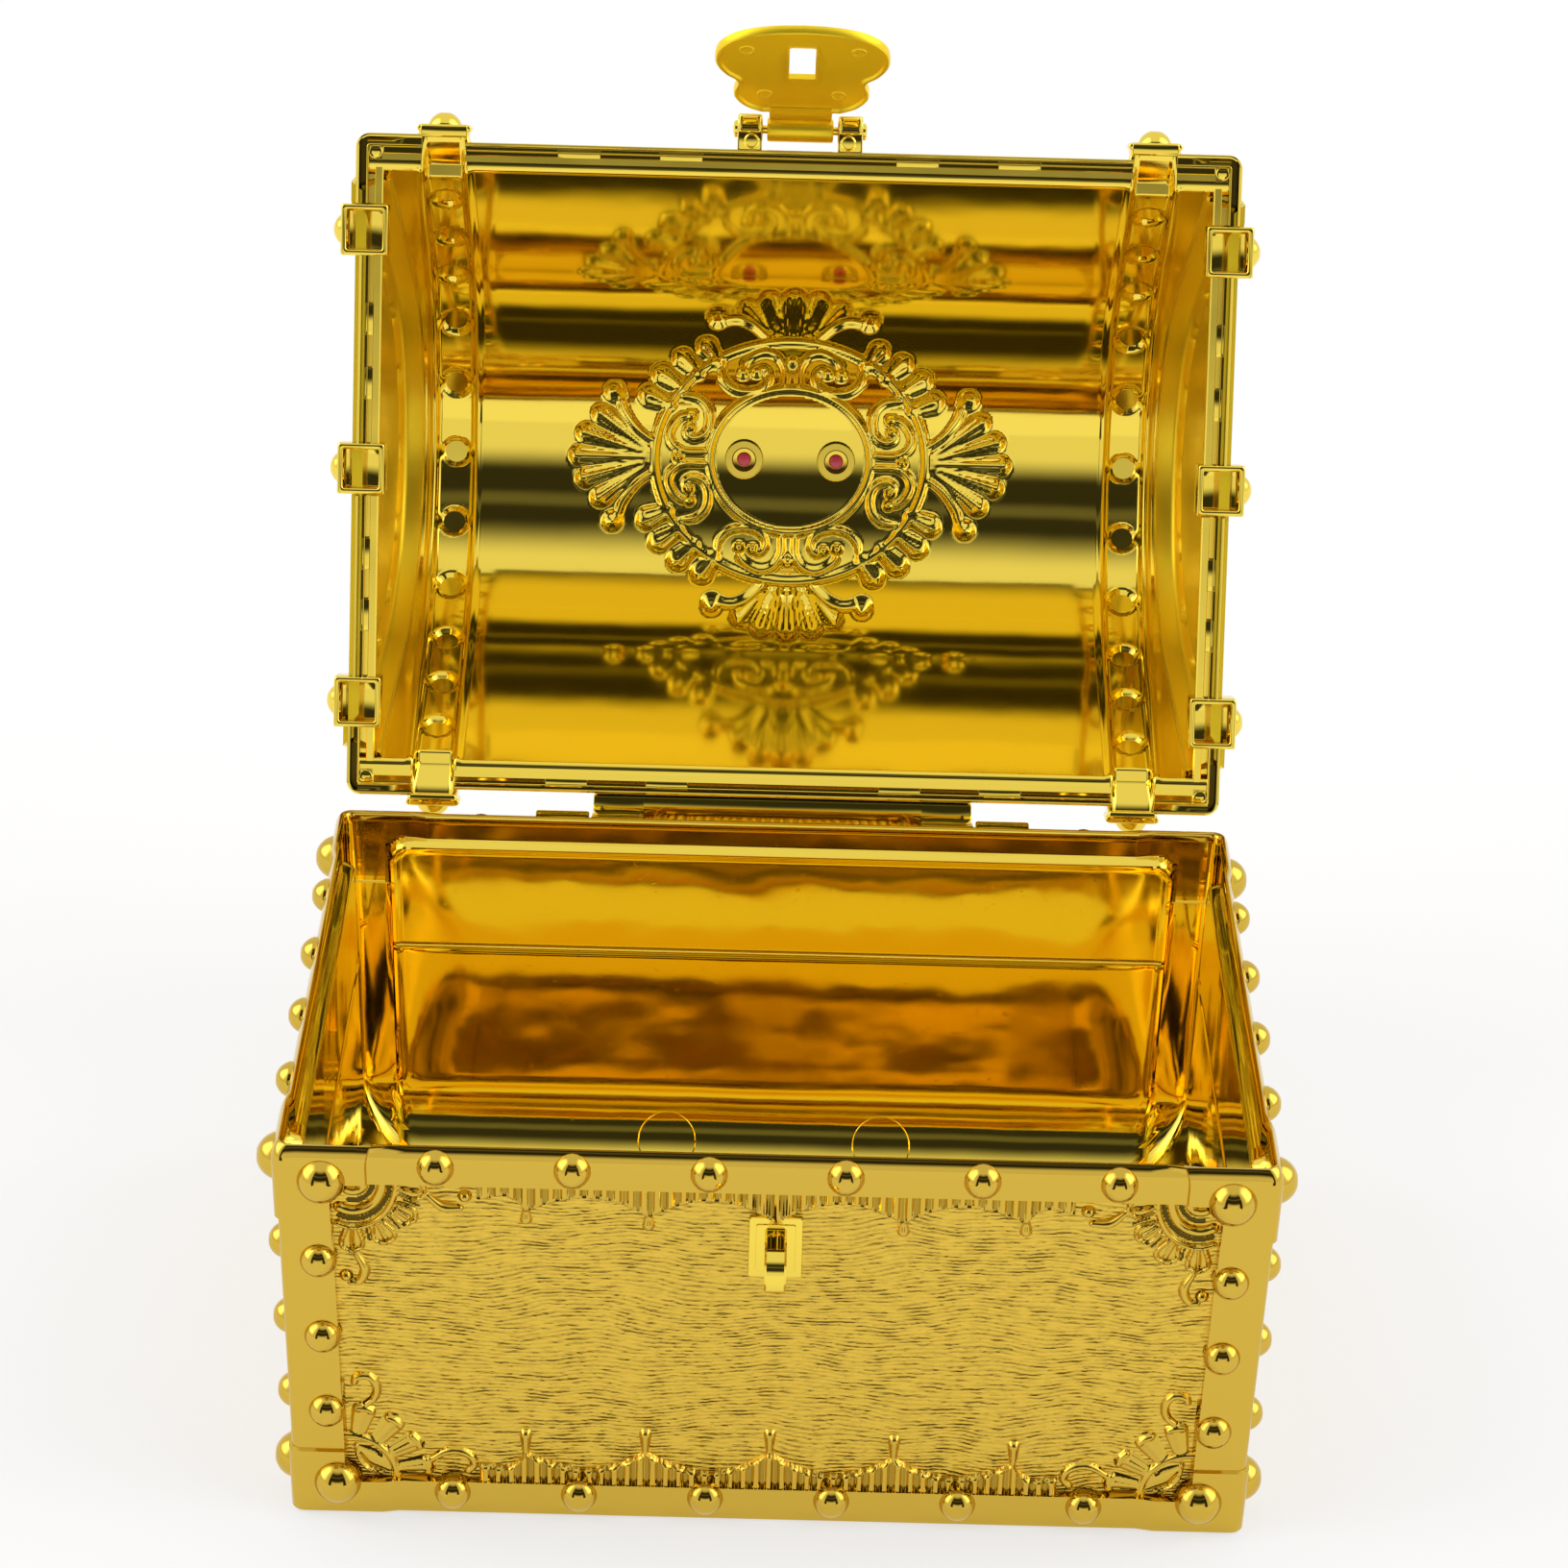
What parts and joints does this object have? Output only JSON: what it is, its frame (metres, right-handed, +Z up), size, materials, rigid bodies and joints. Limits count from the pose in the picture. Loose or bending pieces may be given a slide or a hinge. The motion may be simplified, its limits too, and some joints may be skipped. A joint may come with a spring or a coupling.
{
  "type": "treasure chest box",
  "caption": "Gilt treasure chest box: tapered base with studded bands, arched lid hinged at the back and shown open, and a slotted hasp that drops over a staple on the front.",
  "frame": {"origin": "middle of the flat foot the chest stands on", "axes": "+Z up, -Y towards the front with the staple, +X to the right seen from the front; joint zero is the lid open at its stop, as pictured"},
  "size_m": [0.1734, 0.2293, 0.2122],
  "materials": {
    "plated_base": "bright gold plating on moulded plastic",
    "plated_lid": "bright gold plating on moulded plastic",
    "plated_ends": "bright gold plating on moulded plastic",
    "plated_fittings": "bright gold plating on moulded plastic",
    "steel_pins": "plain drawn wire",
    "red_jewel": "polished"
  },
  "bodies": {
    "base": {"base_tub": "plated_base", "hasp_staple": "plated_fittings", "hinge_pin_left": "steel_pins", "hinge_pin_right": "steel_pins"},
    "lid": {"lid_barrel": "plated_lid", "lid_end_left": "plated_ends", "lid_end_right": "plated_ends", "lid_jewel": "red_jewel", "hasp_pin": "steel_pins"},
    "hasp": {"hasp_plate": "plated_fittings"}
  },
  "joints": [
    {"name": "lid_hinge", "type": "hinge", "parent": "base", "child": "lid", "pos_m": [0, 0.068, 0.0646], "axis": [1, 0, 0], "range_deg": [0, 109]},
    {"name": "hasp_pivot", "type": "hinge", "parent": "lid", "child": "hasp", "pos_m": [0, 0.12201, 0.18614], "axis": [1, 0, 0], "range_deg": [-119, 31]}
  ]
}
